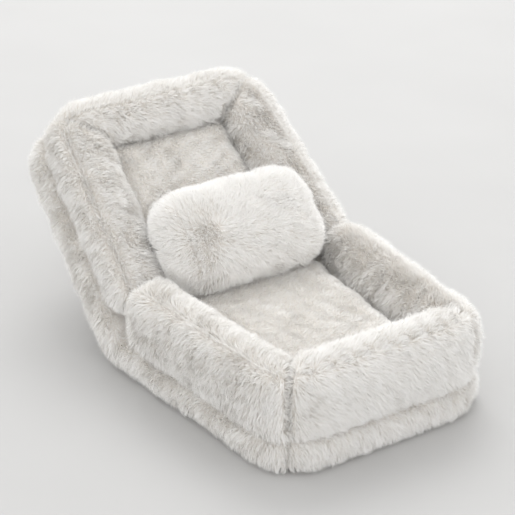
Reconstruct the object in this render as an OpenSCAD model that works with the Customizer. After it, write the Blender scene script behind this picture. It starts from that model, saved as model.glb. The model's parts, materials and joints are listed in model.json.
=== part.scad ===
// Reclining plush pet bed: a flat seat with a raised rim, a padded back on a steel hinge
// frame, a loose seat cushion and a loose lumbar pillow.
// Millimetres. +Z up, front towards -Y, the back towards +Y. The underside rests on Z = 0.

/* [Seat] */
// Length of the seat from its front to the hinge axis
seat_len = 377; // [320:1:440]
// Half width of the seat at its front
seat_half_front = 166; // [150:1:190]
// Extra half width of the seat at the hinge
seat_flare = 32; // [0:1:40]
// Thickness of the base layer under the rim
base_t = 50; // [44:1:56]
// Height of the arm bolsters above the floor
arm_top = 147; // [130:1:165]
// Height of the front bolster above the floor
front_top = 153; // [130:1:170]
// Width of the arm and front bolsters
rim_w = 60; // [50:1:70]
// Height of the seat cushion's top above the floor
cushion_top = 100; // [80:1:112]
// Rear end of the arm bolsters
arm_rear = 346; // [320:1:352]

/* [Back] */
// Angle of the back above the floor
recline = 37.4; // [30:0.1:42]
// Length of the back from the hinge axis
back_len = 363; // [320:1:400]
// Half width of the back at the hinge
back_half_low = 207; // [190:1:215]
// Half width of the back at its top
back_half_top = 187; // [170:1:210]
// Thickness of the back layer, measured from its resting face
back_t = 70; // [62:1:78]
// Height of the ring of bolsters, measured from the same face
ring_top = 124; // [110:1:135]
// Width of the side bolsters of the back
side_w = 88; // [76:1:92]
// Width of the top bolster of the back
top_w = 74; // [60:1:90]
// Height of the inset back pad, measured from the same face
pad_top = 94; // [84:1:104]

/* [Pillow] */
// Length of the lumbar pillow
pillow_l = 244; // [200:1:246]
// Height of the lumbar pillow
pillow_h = 142; // [110:1:144]
// Thickness of the lumbar pillow
pillow_t = 92; // [70:1:96]
// Lean of the pillow above the floor
pillow_lean = 45; // [40:1:50]

/* [Frame] */
// Outer diameter of the steel tube
tube_d = 12; // [10:0.5:16]
// Wall of the steel tube
tube_wall = 1.2; // [0.8:0.1:2]
// Diameter of the hinge rivet
rivet_d = 8; // [6:0.5:10]
// Running clearance of the rivet in the moving leaf, on the radius
rivet_gap = 0.05; // [0.02:0.01:0.1]
// Thickness of a hinge leaf
leaf_t = 3; // [2:0.5:4]

/* [Zip] */
// Length of the zip's coil
zip_len = 280; // [200:1:320]
// Distance of the zip from the hinge axis, up the back
zip_at = 96; // [70:1:140]

/* [Hidden] */

// Soft parts: steps of a rounded corner and edge, plush cloth, play between a cover and its filling
arc_steps = 5;
edge_steps = 3;
edge_angle = 75;
cloth_t = 4;
slack = 0.5;
part_gap = 0.6;
sheet_t = 2;
sheet_inset = 16;

// Seat layout
hinge_z = 25;
base_r = 22;
base_front = 4;
base_rear = seat_len - 8;
rim_front = -8;
rim_r = 27;
rim_z0 = base_t + part_gap;
rim_rear = rim_front + rim_w;
cushion_r = 20;
cushion_gap = 3;
cushion_rear = seat_len - 32;

// Back layout, in the frame where the back lies flat behind the seat
back_z0 = 8;
back_r = 28;
back_start = 6;
ring_r = 24;
ring_start = 32;
ring_z0 = back_t + part_gap;
pad_r = 11;
pad_start = 34;
pad_gap = 3;
mitre_angle = atan2(side_w, top_w);

// Pillow layout: it leans on the back pad and stands on the seat cushion
pillow_r = 40;
pillow_play = 2;
pillow_rise = (pillow_h / 2 - pillow_r) * sin(pillow_lean) + (pillow_t / 2 - pillow_r) * cos(pillow_lean);
pillow_z = cushion_top + pillow_play + pillow_r + pillow_rise;
pillow_turn = pillow_lean - recline;
pillow_reach = (pillow_h / 2 - pillow_r) * sin(pillow_turn) + (pillow_t / 2 - pillow_r) * cos(pillow_turn);
pillow_n = pad_top - hinge_z + pillow_play + pillow_r + pillow_reach;
pillow_y = seat_len + ((pillow_z - hinge_z) * cos(recline) - pillow_n) / sin(recline);

// Origin: the middle of the whole length, on the floor
back_end_y = seat_len + (back_len - back_r) * cos(recline)
    - (back_z0 + back_r - hinge_z) * sin(recline) + back_r;
origin_y = (rim_front + back_end_y) / 2;

// Steel frame layout
steel_fn = 48;
tube_r = tube_d / 2;
bore_r = tube_r - tube_wall;
bend_r = 40;
seat_frame_half = 140;
seat_tube_front = 60;
seat_tube_rear = seat_len - 40;
back_tube_start = 40;
back_tube_end = 300;
leaf_h = 24;
leaf_len = 84;
washer_t = 0.8;
leaf_play = 0.2;
seat_leaf_x = seat_frame_half + tube_r;
back_leaf_x = seat_leaf_x + leaf_t + washer_t + leaf_play;
back_frame_half = back_leaf_x - tube_r;
head_t = 2.5;
head_r = 7;
fix_r = 2.5;
fix_head_r = 4.5;
fix_head_t = 1.8;
fix_places = [52, 72];
pocket_gap = 1.5;

// Zip layout, on the rear face of the back
tape_w = 26;
tape_t = 0.8;
hem_w = 3;
hem_t = 2.1;
tape_z = back_z0 - hem_t;
coil_w = 5;
coil_t = 2.2;
coil_z = tape_z - coil_t;
slider_l = 11;
slider_gap = 0.3;
slider_wall = 0.9;
slider_z = coil_z - slider_gap - slider_wall;
slider_x = slider_l / 2 - zip_len / 2 + 4;
lug_z = slider_z - 1.1;
lug_pin_r = 0.6;
lug_gap = 0.05;
lug_in = 1.7;
lug_out = 2.9;
pull_l = 24;
pull_w = 6;
pull_t = 1.2;
pull_neck = 3;
pull_eye_r = 1.05;

// Half width of the seat at a distance from its front
function seat_half(y) = seat_half_front + seat_flare * y / seat_len;

// Half width of the back at a distance up from the hinge axis
function back_half(t) = back_half_low + (back_half_top - back_half_low) * t / back_len;

// Outline of a block that tapers along Y: [low X, high X] at its two ends, counterclockwise
function taper_outline(x0, x1, y0, y1) = [[x0[0], y0], [x0[1], y0], [x1[1], y1], [x1[0], y1]];

// Unit normal on the left of the way from a to b
function left_normal(a, b) = [a[1] - b[1], b[0] - a[0]] / norm(b - a);

// Arc points round one corner of an outline: its centre lies r inside, the arc has radius reach
function corner_arc(before, corner, after, r, reach) =
    let (
        n0 = left_normal(before, corner),
        n1 = left_normal(corner, after),
        centre = corner + r * (n0 + n1) / (1 + n0 * n1),
        start = atan2(-n0[1], -n0[0]),
        turn = atan2(n0[0] * n1[1] - n0[1] * n1[0], n0 * n1)
    )
    [for (i = [0:arc_steps])
        let (angle = start + turn * i / arc_steps)
        centre + reach * [cos(angle), sin(angle)]];

// Ring of points round a whole outline
function outline_ring(outline, r, reach) =
    let (count = len(outline))
    [for (i = [0:count - 1])
        each corner_arc(outline[(i + count - 1) % count], outline[i], outline[(i + 1) % count], r, reach)];

// Puts its children in the part's frame, seat side
module seated() {
    translate([0, -origin_y, 0])
        children();
}

// Puts its children in the part's frame, turned up from the flat position of the back
module reclined() {
    translate([0, seat_len - origin_y, hinge_z])
        rotate([recline, 0, 0])
            translate([0, -seat_len, -hinge_z])
                children();
}

// Mirrors its children to the left side when side is -1
module on_side(side) {
    mirror([side < 0 ? 1 : 0, 0, 0])
        children();
}

// Block with rounded edges over a plan outline, from z0 to z1; inset shrinks it on all sides
module soft_block(outline, z0, z1, r, inset) {
    angles = [for (i = [0:edge_steps]) edge_angle * i / edge_steps];
    lift = (r - inset) / sin(edge_angle);
    levels = concat(
        [for (i = [edge_steps:-1:0]) [z0 + r - lift * sin(angles[i]), (r - inset) * cos(angles[i])]],
        [for (i = [0:edge_steps]) [z1 - r + lift * sin(angles[i]), (r - inset) * cos(angles[i])]]
    );
    rings = [for (level = levels) outline_ring(outline, r, level[1])];
    count = len(rings[0]);
    top = len(levels) - 1;
    points = [for (k = [0:top]) each [for (p = rings[k]) [p[0], p[1], levels[k][0]]]];
    sides = [
        for (k = [0:top - 1])
            for (i = [0:count - 1])
                [
                    k * count + i, (k + 1) * count + i,
                    (k + 1) * count + (i + 1) % count, k * count + (i + 1) % count
                ]
    ];
    bottom_face = [for (i = [0:count - 1]) i];
    top_face = [for (i = [count - 1:-1:0]) top * count + i];
    polyhedron(points, concat([bottom_face, top_face], sides));
}

// Half space beyond an upright plane through a point, facing the angle
module beyond(point, angle, shift) {
    reach = 600;
    translate([point[0], point[1], 0])
        rotate([0, 0, angle])
            translate([shift, -reach, -reach])
                cube(2 * reach);
}

// Hollow round tube along Z
module tube(length) {
    difference() {
        cylinder(h = length, r = tube_r, $fn = steel_fn);
        translate([0, 0, -1])
            cylinder(h = length + 2, r = bore_r, $fn = steel_fn);
    }
}

// Solid in the shape of a tube frame's outside, fatter by a gap
module u_frame_solid(half, cross_y, end_y, gap) {
    dir = end_y > cross_y ? 1 : -1;
    side_len = abs(end_y - cross_y) - bend_r;
    for (side = [-1, 1])
        translate([side * half, cross_y + dir * bend_r, hinge_z])
            rotate([-90 * dir, 0, 0])
                cylinder(h = side_len + gap, r = tube_r + gap, $fn = steel_fn);
    translate([bend_r - half, cross_y, hinge_z])
        rotate([0, 90, 0])
            cylinder(h = 2 * (half - bend_r), r = tube_r + gap, $fn = steel_fn);
    for (side = [-1, 1])
        u_frame_bend(half, cross_y, dir, side, tube_r + gap);
}

// Quarter bend of a U frame
module u_frame_bend(half, cross_y, dir, side, r) {
    translate([side * (half - bend_r), cross_y + dir * bend_r, hinge_z])
        mirror([side < 0 ? 1 : 0, 0, 0])
            mirror([0, dir > 0 ? 1 : 0, 0])
                rotate_extrude(angle = 90, $fn = steel_fn)
                    translate([bend_r, 0])
                        circle(r = r, $fn = steel_fn);
}

// U-shaped frame of hollow tube: a cross tube, two bends and two sides
module u_frame(half, cross_y, end_y) {
    dir = end_y > cross_y ? 1 : -1;
    side_len = abs(end_y - cross_y) - bend_r;
    for (side = [-1, 1])
        translate([side * half, cross_y + dir * bend_r, hinge_z])
            rotate([-90 * dir, 0, 0])
                tube(side_len);
    translate([bend_r - half, cross_y, hinge_z])
        rotate([0, 90, 0])
            tube(2 * (half - bend_r));
    for (side = [-1, 1])
        difference() {
            u_frame_bend(half, cross_y, dir, side, tube_r);
            u_frame_bend(half, cross_y, dir, side, bore_r);
        }
}

// Pocket for a hinge leaf, its rivets and the tube's end, on both sides; dir is 1 towards the back
module leaf_pockets(half, dir) {
    low_x = half - tube_r - fix_head_t - pocket_gap;
    high_x = back_leaf_x + leaf_t + leaf_play + head_t + pocket_gap;
    depth = leaf_len + pocket_gap;
    tall = leaf_h + 2 * pocket_gap;
    for (side = [-1, 1])
        on_side(side)
            translate([low_x, dir > 0 ? seat_len - leaf_h : seat_len - depth, hinge_z - tall / 2])
                cube([high_x - low_x, depth + leaf_h, tall]);
}

// Hinge leaf from the axis towards dir, its inner face at x, with the rivet's bore
module leaf(x, dir, rivet_bore_r) {
    translate([x, seat_len, hinge_z])
        rotate([90, 0, 90])
            linear_extrude(height = leaf_t)
                difference() {
                    union() {
                        circle(r = leaf_h / 2, $fn = steel_fn);
                        translate([dir > 0 ? 0 : -leaf_len, -leaf_h / 2])
                            square([leaf_len, leaf_h]);
                    }
                    circle(r = rivet_bore_r, $fn = steel_fn);
                    for (place = fix_places)
                        translate([dir * place, 0])
                            circle(r = fix_r, $fn = steel_fn);
                }
}

// Holes for the rivets that join a frame's tubes to its leaves
module fix_holes(half, dir) {
    for (side = [-1, 1])
        on_side(side)
            for (place = fix_places)
                translate([half - tube_r - 1, seat_len + dir * place, hinge_z])
                    rotate([0, 90, 0])
                        cylinder(h = tube_d + 2, r = fix_r, $fn = steel_fn);
}

// Rivets that join a frame's tubes to its leaves: a shank and two heads each
module fix_rivets(half, dir) {
    grip = tube_d + leaf_t;
    for (side = [-1, 1])
        on_side(side)
            for (place = fix_places)
                translate([half - tube_r, seat_len + dir * place, hinge_z])
                    rotate([0, 90, 0]) {
                        cylinder(h = grip, r = fix_r, $fn = steel_fn);
                        translate([0, 0, -fix_head_t])
                            cylinder(h = fix_head_t, r = fix_head_r, $fn = steel_fn);
                        translate([0, 0, grip])
                            cylinder(h = fix_head_t, r = fix_head_r, $fn = steel_fn);
                    }
}

// Base layer under the whole seat; inset shrinks it on all sides
module base_block(inset) {
    front = seat_half(base_front);
    rear = seat_half(base_rear);
    outline = taper_outline([-front, front], [-rear, rear], base_front, base_rear);
    soft_block(outline, sheet_t, base_t, base_r, inset);
}

// Arm bolster on the right, cut at the front mitre
module arm_block(inset) {
    front = seat_half(rim_front);
    rear = seat_half(arm_rear);
    outline = taper_outline([front - rim_w, front], [rear - rim_w, rear], rim_front, arm_rear);
    intersection() {
        soft_block(outline, rim_z0, arm_top, rim_r, inset);
        beyond([front, rim_front], 45, part_gap / 2 + inset);
    }
}

// Front bolster between the two mitres
module front_block(inset) {
    half = seat_half(rim_front);
    outline = taper_outline([-half, half], [-half, half], rim_front, rim_rear);
    intersection() {
        soft_block(outline, rim_z0, front_top, rim_r, inset);
        beyond([half, rim_front], 225, part_gap / 2 + inset);
        beyond([-half, rim_front], -45, part_gap / 2 + inset);
    }
}

// Seat cushion inside the rim
module cushion_block(inset) {
    cushion_front = rim_rear + cushion_gap;
    front = seat_half(cushion_front) - rim_w - cushion_gap;
    rear = seat_half(cushion_rear) - rim_w - cushion_gap;
    outline = taper_outline([-front, front], [-rear, rear], cushion_front, cushion_rear);
    soft_block(outline, rim_z0, cushion_top, cushion_r, inset);
}

// Lumbar pillow, leaning on the back
module pillow_block(inset) {
    half_l = pillow_l / 2;
    outline = taper_outline([-half_l, half_l], [-half_l, half_l], -pillow_h / 2, pillow_h / 2);
    translate([0, pillow_y, pillow_z])
        rotate([pillow_lean, 0, 0])
            soft_block(outline, -pillow_t / 2, pillow_t / 2, pillow_r, inset);
}

// Back layer behind the ring of bolsters
module back_block(inset) {
    low = back_half(back_start);
    high = back_half(back_len);
    outline = taper_outline([-low, low], [-high, high], seat_len + back_start, seat_len + back_len);
    soft_block(outline, back_z0, back_t, back_r, inset);
}

// Side bolster of the back on the right, cut at the top mitre
module side_block(inset) {
    low = back_half(ring_start);
    high = back_half(back_len);
    outline = taper_outline([low - side_w, low], [high - side_w, high],
        seat_len + ring_start, seat_len + back_len);
    intersection() {
        soft_block(outline, ring_z0, ring_top, ring_r, inset);
        beyond([high, seat_len + back_len], -mitre_angle, part_gap / 2 + inset);
    }
}

// Top bolster of the back between the two mitres
module top_block(inset) {
    half = back_half(back_len);
    end = seat_len + back_len;
    outline = taper_outline([-half, half], [-half, half], end - top_w, end);
    intersection() {
        soft_block(outline, ring_z0, ring_top, ring_r, inset);
        beyond([half, end], 180 - mitre_angle, part_gap / 2 + inset);
        beyond([-half, end], mitre_angle, part_gap / 2 + inset);
    }
}

// Thin pad inside the ring of the back
module pad_block(inset) {
    pad_end = back_len - top_w - pad_gap;
    low = back_half(pad_start) - side_w - pad_gap;
    high = back_half(pad_end) - side_w - pad_gap;
    outline = taper_outline([-low, low], [-high, high], seat_len + pad_start, seat_len + pad_end);
    soft_block(outline, ring_z0, pad_top, pad_r, inset);
}

// Closed plush cover: the outer skin of a soft block, given as its outside and its hollow
module cover() {
    difference() {
        children(0);
        children(1);
    }
}

module antislip_sheet() {
    front = seat_half(base_front) - sheet_inset;
    rear = seat_half(base_rear) - sheet_inset;
    y0 = base_front + sheet_inset;
    y1 = base_rear - sheet_inset;
    cut = 20;
    color("dimgray")
        seated()
            linear_extrude(height = sheet_t)
                polygon([
                    [cut - front, y0], [front - cut, y0], [front, y0 + cut], [rear, y1 - cut],
                    [rear - cut, y1], [cut - rear, y1], [-rear, y1 - cut], [-front, y0 + cut]
                ]);
}

module base_cover() {
    color("snow")
        seated()
            difference() {
                base_block(0);
                base_block(cloth_t);
                leaf_pockets(seat_frame_half, -1);
            }
}

module base_foam() {
    color("khaki")
        seated()
            difference() {
                base_block(cloth_t + slack);
                u_frame_solid(seat_frame_half, seat_tube_front, seat_tube_rear, slack);
                leaf_pockets(seat_frame_half, -1);
            }
}

module seat_frame() {
    color("silver")
        seated()
            difference() {
                u_frame(seat_frame_half, seat_tube_front, seat_tube_rear);
                fix_holes(seat_frame_half, -1);
            }
}

module seat_frame_rivets() {
    color("gray")
        seated()
            fix_rivets(seat_frame_half, -1);
}

module seat_leaf(side) {
    color("gainsboro")
        seated()
            on_side(side)
                leaf(seat_leaf_x, -1, rivet_d / 2);
}

module back_leaf(side) {
    color("gainsboro")
        reclined()
            on_side(side)
                leaf(back_leaf_x, 1, rivet_d / 2 + rivet_gap);
}

// Two rivets on the hinge axis, each with a shank and two heads
module hinge_rivets() {
    shank = back_leaf_x + leaf_t + leaf_play - seat_leaf_x;
    color("gray")
        seated()
            for (side = [-1, 1])
                on_side(side)
                    translate([seat_leaf_x, seat_len, hinge_z])
                        rotate([0, 90, 0]) {
                            cylinder(h = shank, r = rivet_d / 2, $fn = steel_fn);
                            translate([0, 0, -head_t])
                                cylinder(h = head_t, r = head_r, $fn = steel_fn);
                            translate([0, 0, shank])
                                cylinder(h = head_t, r = head_r, $fn = steel_fn);
                        }
}

// Two spring washers that press the leaves apart and hold the back where it is put
module spring_washers() {
    washer_r = 9;
    color("darkgray")
        seated()
            for (side = [-1, 1])
                on_side(side)
                    translate([seat_leaf_x + leaf_t, seat_len, hinge_z])
                        rotate([0, 90, 0])
                            difference() {
                                cylinder(h = washer_t, r = washer_r, $fn = steel_fn);
                                translate([0, 0, -1])
                                    cylinder(h = washer_t + 2, r = rivet_d / 2, $fn = steel_fn);
                            }
}

module arm_cover(side) {
    color("snow")
        seated()
            on_side(side)
                cover() {
                    arm_block(0);
                    arm_block(cloth_t);
                }
}

module arm_fill(side) {
    color("ivory")
        seated()
            on_side(side)
                arm_block(cloth_t + slack);
}

module front_bolster_cover() {
    color("snow")
        seated()
            cover() {
                front_block(0);
                front_block(cloth_t);
            }
}

module front_bolster_fill() {
    color("ivory")
        seated()
            front_block(cloth_t + slack);
}

module seat_cushion_cover() {
    color("floralwhite")
        seated()
            cover() {
                cushion_block(0);
                cushion_block(cloth_t);
            }
}

module seat_cushion_foam() {
    color("khaki")
        seated()
            cushion_block(cloth_t + slack);
}

module pillow_cover() {
    color("snow")
        seated()
            cover() {
                pillow_block(0);
                pillow_block(cloth_t);
            }
}

module pillow_fill() {
    color("ivory")
        seated()
            pillow_block(cloth_t + slack);
}

module back_cover() {
    color("snow")
        reclined()
            difference() {
                back_block(0);
                back_block(cloth_t);
                leaf_pockets(back_frame_half, 1);
            }
}

module back_foam() {
    color("khaki")
        reclined()
            difference() {
                back_block(cloth_t + slack);
                u_frame_solid(back_frame_half, seat_len + back_tube_end, seat_len + back_tube_start, slack);
                leaf_pockets(back_frame_half, 1);
            }
}

module back_frame() {
    color("silver")
        reclined()
            difference() {
                u_frame(back_frame_half, seat_len + back_tube_end, seat_len + back_tube_start);
                fix_holes(back_frame_half, 1);
            }
}

module back_frame_rivets() {
    color("gray")
        reclined()
            fix_rivets(back_frame_half, 1);
}

module side_bolster_cover(side) {
    color("snow")
        reclined()
            on_side(side)
                cover() {
                    side_block(0);
                    side_block(cloth_t);
                }
}

module side_bolster_fill(side) {
    color("ivory")
        reclined()
            on_side(side)
                side_block(cloth_t + slack);
}

module top_bolster_cover() {
    color("snow")
        reclined()
            cover() {
                top_block(0);
                top_block(cloth_t);
            }
}

module top_bolster_fill() {
    color("ivory")
        reclined()
            top_block(cloth_t + slack);
}

module back_pad_cover() {
    color("floralwhite")
        reclined()
            cover() {
                pad_block(0);
                pad_block(cloth_t);
            }
}

module back_pad_foam() {
    color("khaki")
        reclined()
            pad_block(cloth_t + slack);
}

// Flat tape with a thicker hem along each long edge, where it is sewn to the cover
module zip_tape() {
    color("white")
        reclined()
            translate([-zip_len / 2, seat_len + zip_at - tape_w / 2, tape_z]) {
                cube([zip_len, tape_w, tape_t]);
                for (y = [0, tape_w - hem_w])
                    translate([0, y, 0])
                        cube([zip_len, hem_w, hem_t]);
            }
}

module zip_coil() {
    color("white")
        reclined()
            translate([-zip_len / 2, seat_len + zip_at - coil_w / 2, coil_z])
                cube([zip_len, coil_w, coil_t]);
}

// Channel over the coil, with a cross pin that carries the pull
module zip_slider() {
    wide = coil_w + 2 * (slider_gap + slider_wall);
    color("silver")
        reclined()
            translate([slider_x, seat_len + zip_at, 0]) {
                difference() {
                    translate([-slider_l / 2, -wide / 2, slider_z])
                        cube([slider_l, wide, tape_z - slider_gap - slider_z]);
                    translate([-slider_l, -coil_w / 2 - slider_gap, coil_z - slider_gap])
                        cube([2 * slider_l, coil_w + 2 * slider_gap, 2 * coil_t]);
                }
                for (y = [-lug_out, lug_in])
                    translate([-1, y, lug_z - lug_pin_r])
                        cube([2, lug_out - lug_in, slider_z - lug_z + lug_pin_r]);
                translate([0, -lug_in, lug_z])
                    rotate([-90, 0, 0])
                        cylinder(h = 2 * lug_in, r = lug_pin_r, $fn = steel_fn);
            }
}

// Flat tab with an eye that turns on the slider's cross pin
module zip_pull() {
    neck_l = 5;
    color("silver")
        reclined()
            translate([slider_x, seat_len + zip_at, lug_z])
                difference() {
                    union() {
                        rotate([-90, 0, 0])
                            translate([0, 0, -pull_neck / 2])
                                cylinder(h = pull_neck, r = pull_eye_r, $fn = steel_fn);
                        translate([0, -pull_neck / 2, -pull_t / 2])
                            cube([neck_l, pull_neck, pull_t]);
                        translate([neck_l, -pull_w / 2, -pull_t / 2])
                            cube([pull_l - neck_l, pull_w, pull_t]);
                    }
                    rotate([-90, 0, 0])
                        translate([0, 0, -pull_w])
                            cylinder(h = 2 * pull_w, r = lug_pin_r + lug_gap, $fn = steel_fn);
                }
}

antislip_sheet();
base_cover();
base_foam();
seat_frame();
seat_frame_rivets();
seat_leaf(-1);  // left_seat_leaf
seat_leaf(1);  // right_seat_leaf
hinge_rivets();
spring_washers();
arm_cover(-1);  // left_arm_cover
arm_fill(-1);  // left_arm_fill
arm_cover(1);  // right_arm_cover
arm_fill(1);  // right_arm_fill
front_bolster_cover();
front_bolster_fill();
seat_cushion_cover();
seat_cushion_foam();
pillow_cover();
pillow_fill();
back_cover();
back_foam();
back_frame();
back_frame_rivets();
back_leaf(-1);  // left_back_leaf
back_leaf(1);  // right_back_leaf
side_bolster_cover(-1);  // left_bolster_cover
side_bolster_fill(-1);  // left_bolster_fill
side_bolster_cover(1);  // right_bolster_cover
side_bolster_fill(1);  // right_bolster_fill
top_bolster_cover();
top_bolster_fill();
back_pad_cover();
back_pad_foam();
zip_tape();
zip_coil();
zip_slider();
zip_pull();
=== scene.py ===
import json
import math

import bpy
import numpy as np
from mathutils import Matrix, Vector


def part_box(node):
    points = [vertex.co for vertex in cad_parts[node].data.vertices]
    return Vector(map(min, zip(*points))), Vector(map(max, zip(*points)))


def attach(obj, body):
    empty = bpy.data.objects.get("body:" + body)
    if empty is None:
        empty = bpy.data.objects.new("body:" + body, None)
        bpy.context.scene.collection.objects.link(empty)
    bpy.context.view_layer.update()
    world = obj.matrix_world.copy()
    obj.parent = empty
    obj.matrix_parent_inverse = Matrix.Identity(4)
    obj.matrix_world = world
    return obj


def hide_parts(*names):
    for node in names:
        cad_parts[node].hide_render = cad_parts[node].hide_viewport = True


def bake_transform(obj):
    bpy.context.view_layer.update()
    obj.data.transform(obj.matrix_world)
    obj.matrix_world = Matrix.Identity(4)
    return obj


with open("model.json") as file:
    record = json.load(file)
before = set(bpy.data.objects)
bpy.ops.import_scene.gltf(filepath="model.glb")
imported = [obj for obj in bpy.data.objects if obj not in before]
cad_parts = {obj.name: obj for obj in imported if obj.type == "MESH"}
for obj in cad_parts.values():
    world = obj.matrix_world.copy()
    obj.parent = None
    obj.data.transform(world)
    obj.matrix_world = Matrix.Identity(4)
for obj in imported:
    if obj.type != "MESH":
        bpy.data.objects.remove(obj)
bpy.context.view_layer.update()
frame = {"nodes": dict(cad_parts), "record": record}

# ---------------------------------------------------------------- places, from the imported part

JOINTS = {j["name"]: j for j in frame["record"]["behaviour"]["joints"]}
HINGE = Vector(JOINTS["back_recline"]["pos_m"])
RECLINE = math.radians(-JOINTS["back_recline"]["range_deg"][0])
PILLOW_LEAN = math.radians(45)
# Least height of a strand's middle line above the floor
FLOOR_CLEAR = 0.0010


def turned(angle, centre):
    """Matrix that turns about the X direction through a point."""
    return Matrix.Translation(centre) @ Matrix.Rotation(angle, 4, "X") @ Matrix.Translation(-centre)


SEATED = Matrix.Identity(4)
RECLINED = turned(RECLINE, HINGE)


def local_points(node, place):
    """A CAD node's vertices in a local frame: place takes local points to the row frame."""
    mesh = frame["nodes"][node].data
    co = np.empty(len(mesh.vertices) * 3)
    mesh.vertices.foreach_get("co", co)
    inverse = np.array(place.inverted())
    return co.reshape(-1, 3) @ inverse[:3, :3].T + inverse[:3, 3]


def local_box(node, place):
    """Lowest and highest corner of a CAD node in a local frame."""
    points = local_points(node, place)
    return points.min(0), points.max(0)


def side_line(node, place):
    """Half width of a CAD node as a straight line along its length: y0, w0 and slope."""
    points = local_points(node, place)
    ends = []
    low, high = points[:, 1].min(), points[:, 1].max()
    middle = (low + high) / 2
    for part in (points[points[:, 1] < middle], points[points[:, 1] >= middle]):
        best = part[np.argmax(np.abs(part[:, 0]))]
        ends.append((best[1], abs(best[0])))
    (y0, w0), (y1, w1) = ends
    return y0, w0, (w1 - w0) / (y1 - y0)


def half_width(node, place, y):
    """Half width of a CAD node near a place along its length."""
    y0, w0, slope = side_line(node, place)
    return w0 + slope * (y - y0)


def side_of(low, high):
    """1 for a box on the +X side and -1 for one on the -X side."""
    return 1 if low[0] + high[0] > 0 else -1


# ---------------------------------------------------------------- small numeric helpers


def smoothstep(t):
    """0 below 0 and 1 above 1, with a smooth rise between."""
    t = np.clip(t, 0, 1)
    return t * t * (3 - 2 * t)


def unit(v):
    """Vectors of length 1 in the same directions."""
    return v / np.maximum(np.linalg.norm(v, axis=-1, keepdims=True), 1e-9)


class Waves:
    """Smooth noise in space: a sum of sines of about one wavelength."""

    def __init__(self, rng, wavelength, count=7):
        direction = unit(rng.normal(size=(count, 3)))
        self.k = direction * (2 * math.pi / wavelength) * rng.uniform(0.7, 1.4, (count, 1))
        self.phase = rng.uniform(0, 2 * math.pi, count)

    def __call__(self, p):
        return np.sin(p @ self.k.T + self.phase).sum(1) / math.sqrt(len(self.phase) / 2)


# ---------------------------------------------------------------- stuffed blocks

# A lattice point this near a face of its block counts as on it
ON_FACE = 0.001


def box_lattice(size, cell):
    """Vertices and quads of a box's surface, split into cells. The vertices run from 0 to 1 on each axis."""
    n = [max(3, round(s / cell)) for s in size]
    index, verts, faces = {}, [], []

    def vertex(i, j, k):
        key = (i, j, k)
        if key not in index:
            index[key] = len(verts)
            verts.append([i / n[0], j / n[1], k / n[2]])
        return index[key]

    for axis in range(3):
        a, b = [x for x in range(3) if x != axis]
        for side in (0, n[axis]):
            for i in range(n[a]):
                for j in range(n[b]):
                    quad = []
                    for di, dj in ((0, 0), (1, 0), (1, 1), (0, 1)):
                        key = [0, 0, 0]
                        key[axis], key[a], key[b] = side, i + di, j + dj
                        quad.append(vertex(*key))
                    outward = (side > 0) == (axis != 1)
                    faces.append(quad if outward else quad[::-1])
    return np.array(verts), faces


def rounded(verts, size, radii):
    """Rounds the edges of a box lattice. radii has a low and a high side's radius for each axis."""
    size = np.array(size)
    radii = np.minimum(np.array(radii, float), size[:, None] * 0.499)
    p = verts * size
    core = np.clip(p, radii[:, 0], size - radii[:, 1])
    offset = (p - core) / np.where(p < core, radii[:, 0], radii[:, 1])
    length = np.linalg.norm(offset, axis=1, keepdims=True)
    edge = np.where(offset < 0, radii[:, 0], radii[:, 1])
    return core + np.where(length > 1e-9, offset / np.maximum(length, 1e-9), 0) * edge


def across_quad(points, size, quad):
    """Maps a box's plan onto four corners, counterclockwise from low X and low Y."""
    u = (points[:, 0] / size[0])[:, None]
    v = (points[:, 1] / size[1])[:, None]
    c = [np.array(q) for q in quad]
    plan = (1 - u) * (1 - v) * c[0] + u * (1 - v) * c[1] + u * v * c[2] + (1 - u) * v * c[3]
    return np.column_stack([plan, points[:, 2]])


def round_corner(points, half, corner_y, radius):
    """Turns the two plan corners at corner_y into quarter rounds. A negative radius is for the high Y end."""
    inward = 1 if radius > 0 else -1
    r = abs(radius)
    edge = np.array([half(y) for y in points[:, 1]])
    dx = np.abs(points[:, 0]) - (edge - r)
    dy = inward * (corner_y + inward * r - points[:, 1])
    inside = (dx > 0) & (dy > 0)
    square = np.maximum(dx, dy)
    scale = np.where(inside, square / np.maximum(np.hypot(dx, dy), 1e-9), 1)
    out = points.copy()
    side = np.sign(points[:, 0])
    out[:, 0] = np.where(inside, side * (edge - r + dx * scale), points[:, 0])
    out[:, 1] = np.where(inside, corner_y + inward * r - inward * dy * scale, points[:, 1])
    return out


def seam_on(verts, size, planes):
    """Weights of 1 on the lattice lines nearest to the named seams.
    A plane is (axis, distance from the low side, test of which of its points count)."""
    weight = np.zeros(len(verts))
    p = verts * np.array(size)
    for axis, at, test in planes:
        values = np.unique(np.round(p[:, axis], 7))
        nearest = values[np.argmin(np.abs(values - at))]
        on = np.abs(p[:, axis] - nearest) < 1e-6
        weight[on & test(p)] = 1
    return weight


def mesh_object(name, verts, faces):
    mesh = bpy.data.meshes.new(name)
    mesh.from_pydata([tuple(v) for v in verts], [], faces)
    mesh.update()
    obj = bpy.data.objects.new(name, mesh)
    bpy.context.collection.objects.link(obj)
    return obj


def add_weight(obj, name, values):
    attribute = obj.data.attributes.new(name, "FLOAT", "POINT")
    attribute.data.foreach_set("value", np.asarray(values, np.float32))


def read_weight(mesh, name):
    values = np.zeros(len(mesh.vertices), np.float32)
    mesh.attributes[name].data.foreach_get("value", values)
    return values


def read_points(mesh):
    co = np.empty(len(mesh.vertices) * 3)
    mesh.vertices.foreach_get("co", co)
    return co.reshape(-1, 3)


def above(height):
    """Test for the points above a height in a block."""
    return lambda p, size=None: p[:, 2] > height


def everywhere(p, size=None):
    """Test that holds at every point of a block."""
    return np.ones(len(p), bool)


CUSHIONS = []


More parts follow.
